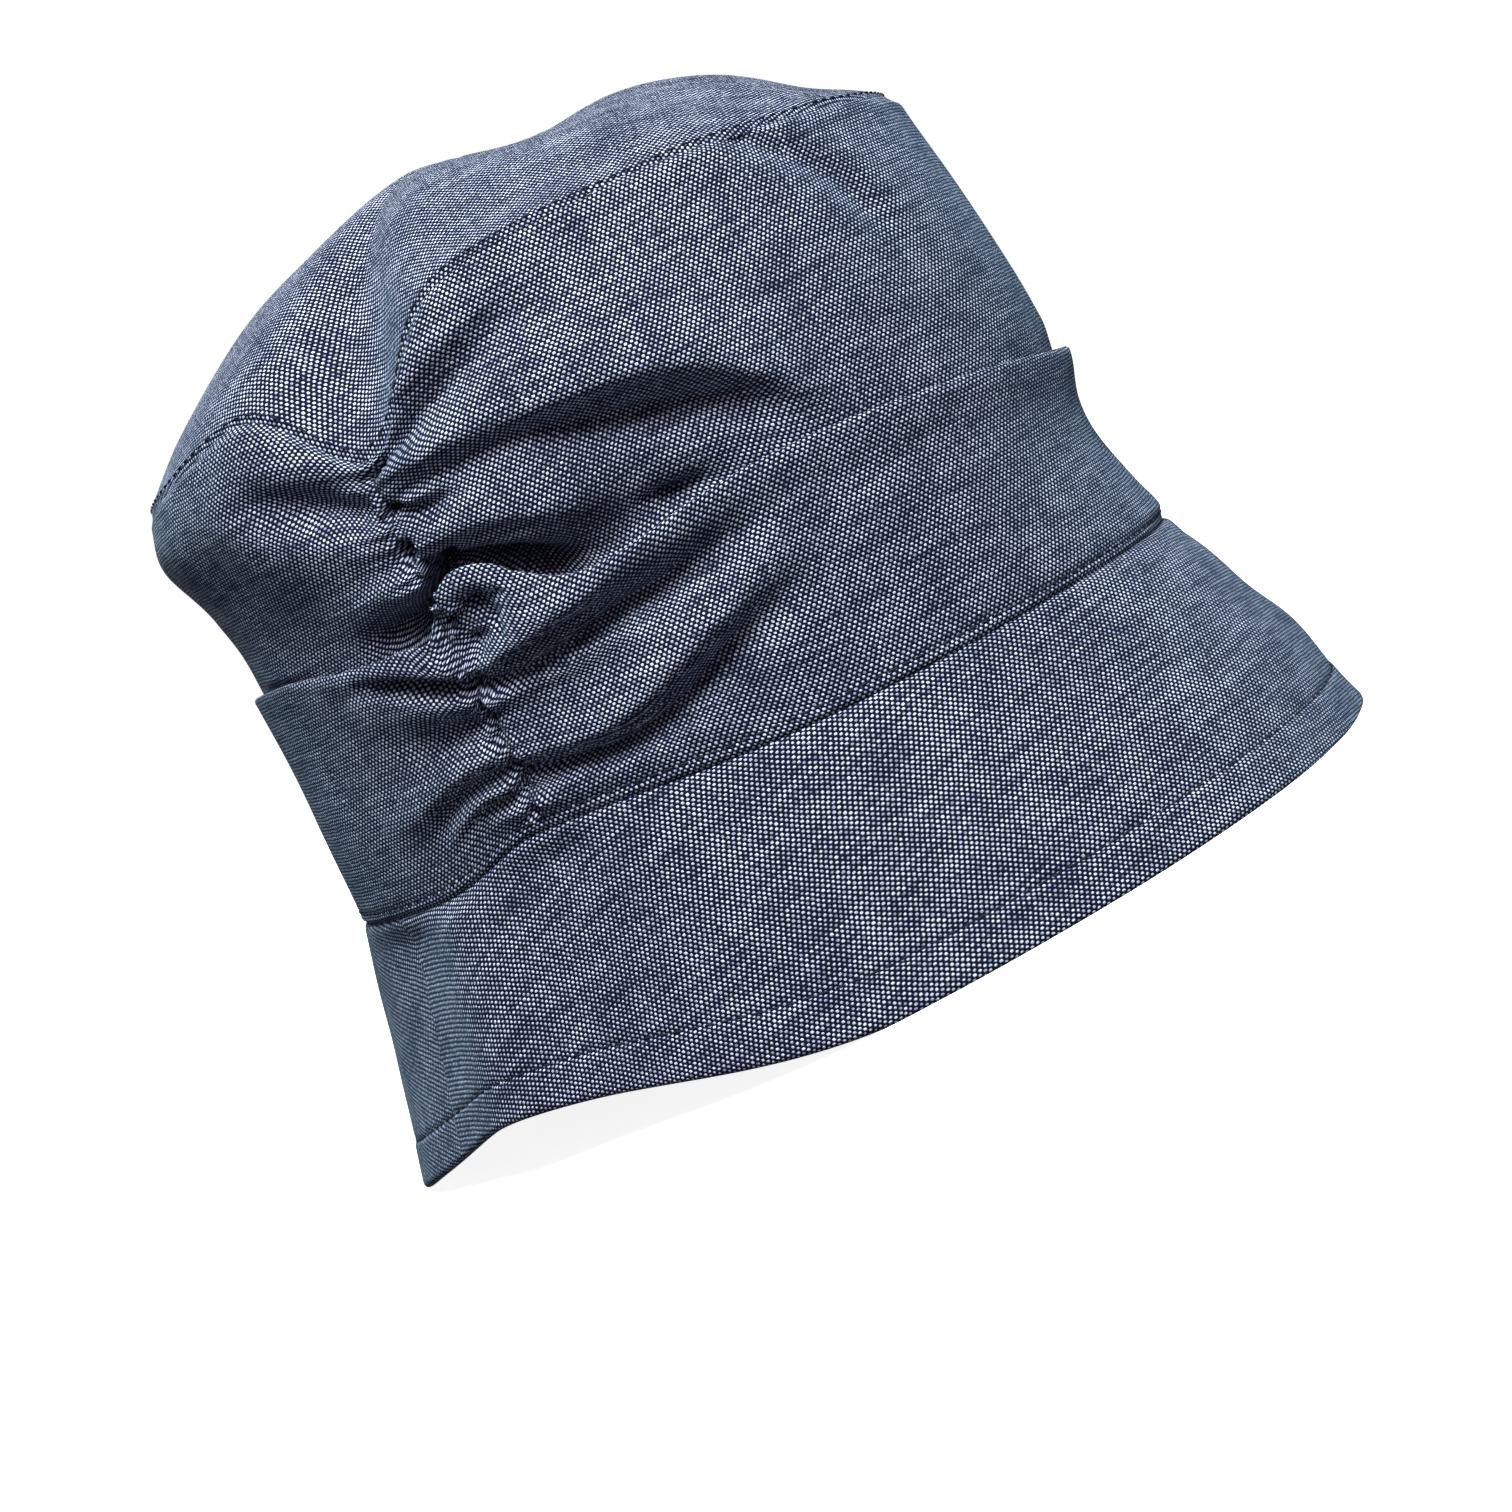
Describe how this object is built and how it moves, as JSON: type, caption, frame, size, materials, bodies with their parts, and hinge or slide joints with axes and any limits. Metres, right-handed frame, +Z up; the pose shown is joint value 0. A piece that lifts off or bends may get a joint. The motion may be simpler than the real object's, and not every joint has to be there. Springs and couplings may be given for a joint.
{
  "type": "gathered bucket hat",
  "caption": "Soft cloth bucket hat with a domed crown, a folded outer band, a short stitched brim and a ruched seam behind the wearer's right side.",
  "frame": {"origin": "centre of the hat's box, on the plane that the brim edge stands on", "axes": "+X to the front of the hat, +Y to the wearer's left, +Z up through the crown"},
  "size_m": [0.2452, 0.2138, 0.2035],
  "materials": {
    "crown_tip": "navy and white plain weave cotton",
    "crown_side": "navy and white plain weave cotton, gathered",
    "outer_band": "navy and white plain weave cotton, folded double",
    "band_end_loop": "navy and white plain weave cotton, open fold",
    "brim_top": "navy and white plain weave cotton",
    "brim_under": "navy and white plain weave cotton",
    "brim_interfacing": "woven stiffener",
    "crown_lining_side": "thin plain cotton lining",
    "crown_lining_tip": "thin plain cotton lining",
    "sweatband": "close woven cotton",
    "crown_seam_tape": "cotton tape",
    "tip_seam_tape": "cotton tape",
    "gather_tape": "cotton tape",
    "tip_topstitch": "twisted sewing thread",
    "band_topstitch": "twisted sewing thread",
    "brim_topstitch": "twisted sewing thread",
    "sweatband_stitch": "twisted sewing thread",
    "gathering_thread": "twisted sewing thread",
    "care_label": "blank woven label"
  },
  "bodies": {
    "root": {"crown_tip": "crown_tip", "crown_side": "crown_side", "outer_band": "outer_band", "band_end_loop": "band_end_loop", "brim_top": "brim_top", "brim_under": "brim_under", "brim_interfacing": "brim_interfacing", "crown_lining_side": "crown_lining_side", "crown_lining_tip": "crown_lining_tip", "sweatband": "sweatband", "crown_seam_tape": "crown_seam_tape", "tip_seam_tape": "tip_seam_tape", "gather_tape": "gather_tape", "tip_topstitch": "tip_topstitch", "band_topstitch": "band_topstitch", "brim_topstitch": "brim_topstitch", "sweatband_stitch": "sweatband_stitch", "gathering_thread": "gathering_thread", "care_label": "care_label"}
  },
  "joints": []
}
